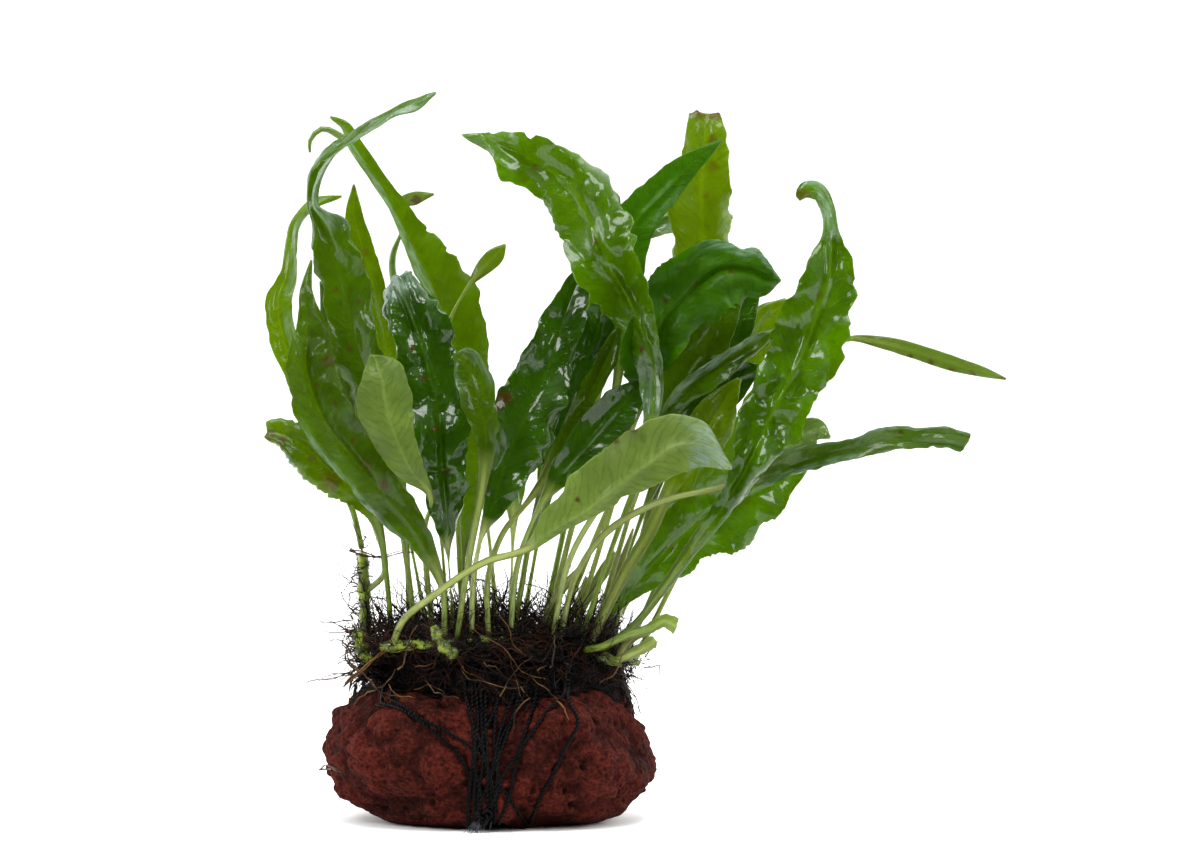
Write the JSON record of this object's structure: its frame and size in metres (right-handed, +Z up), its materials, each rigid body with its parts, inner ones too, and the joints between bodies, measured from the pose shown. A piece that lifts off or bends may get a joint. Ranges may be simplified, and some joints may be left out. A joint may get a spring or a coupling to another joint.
{
  "type": "java fern tied on stone",
  "caption": "Java fern clump with long glossy leaves, tied with black cotton thread to a lump of red-brown lava stone.",
  "frame": {"origin": "on the left one of the two flats under the stone that it rests on", "axes": "+Z up, +X to the right as seen from the front, front of the plant faces -Y"},
  "size_m": [0.2513, 0.1222, 0.2489],
  "materials": {
    "stone": "rough porous red-brown lava",
    "root": "felted black holdfast roots",
    "thread": "black two-ply cotton",
    "rhizome": "fresh yellow-green creeping stem",
    "leaf_mid": "wet glossy translucent leaf",
    "leaf_light": "wet glossy translucent leaf",
    "leaf_deep": "wet glossy translucent leaf",
    "leaf_underside": "wet glossy translucent leaf",
    "leaf_grey": "wet glossy translucent leaf",
    "leaf_bright": "wet glossy translucent leaf",
    "stalk": "pale translucent leaf stalk",
    "leaf_brown": "withered brown stalk"
  },
  "bodies": {
    "root": {"stone": "stone", "root_mat": "root", "binding_thread": "thread", "rhizome_front": "rhizome", "rhizome_middle": "rhizome", "rhizome_back": "rhizome", "rhizome_right_front": "rhizome", "rhizome_right_back": "rhizome", "rhizome_upright": "rhizome", "rhizome_left_tip": "rhizome", "rhizome_front_shoot": "rhizome", "leaf_left_tall": "leaf_mid", "leaf_far_left_curled": "leaf_light", "leaf_front_left_wide": "leaf_deep", "leaf_left_torn": "leaf_light", "leaf_left_pale_back": "leaf_underside", "leaf_left_dark_strip": "leaf_deep", "leaf_left_upright": "leaf_light", "leaf_left_glossy": "leaf_deep", "leaf_centre_left_bright": "leaf_light", "leaf_tall_folded": "leaf_mid", "leaf_young_sprout": "leaf_light", "leaf_back_left_curled_tip": "leaf_grey", "leaf_back_left_thin_tip": "leaf_grey", "leaf_back_olive_tip": "leaf_underside", "leaf_centre_deep_green": "leaf_deep", "leaf_centre_tall_bright": "leaf_bright", "leaf_front_underside": "leaf_underside", "leaf_centre_pointed": "leaf_mid", "leaf_centre_torn_top": "leaf_light", "leaf_back_ribbed": "leaf_grey", "leaf_right_dark_pointed": "leaf_deep", "leaf_right_inner": "leaf_mid", "leaf_right_dark_back": "leaf_deep", "leaf_right_yellow": "leaf_light", "leaf_right_folded": "leaf_mid", "leaf_right_shaded": "leaf_deep", "leaf_right_tall_glossy": "leaf_bright", "leaf_far_right_thin": "leaf_mid", "leaf_far_right_folded": "leaf_mid", "leaf_right_low_wide": "leaf_bright", "leaf_right_flat_stalk": "leaf_light", "leaf_right_back_glossy": "leaf_grey", "leaf_centre_olive": "leaf_deep", "leaf_centre_narrow": "leaf_mid", "leaf_centre_shaded": "leaf_deep", "leaf_rear_centre": "leaf_mid", "leaf_rear_middle": "leaf_mid", "leaf_rear_left": "leaf_mid", "leaf_rear_right": "leaf_mid", "stub_cut_long": "stalk", "stub_cut_low": "stalk", "stub_spike": "leaf_brown", "stub_brown_tip": "leaf_brown", "stub_pale": "stalk", "stub_short": "stalk", "stub_ragged": "leaf_brown"}
  },
  "joints": []
}
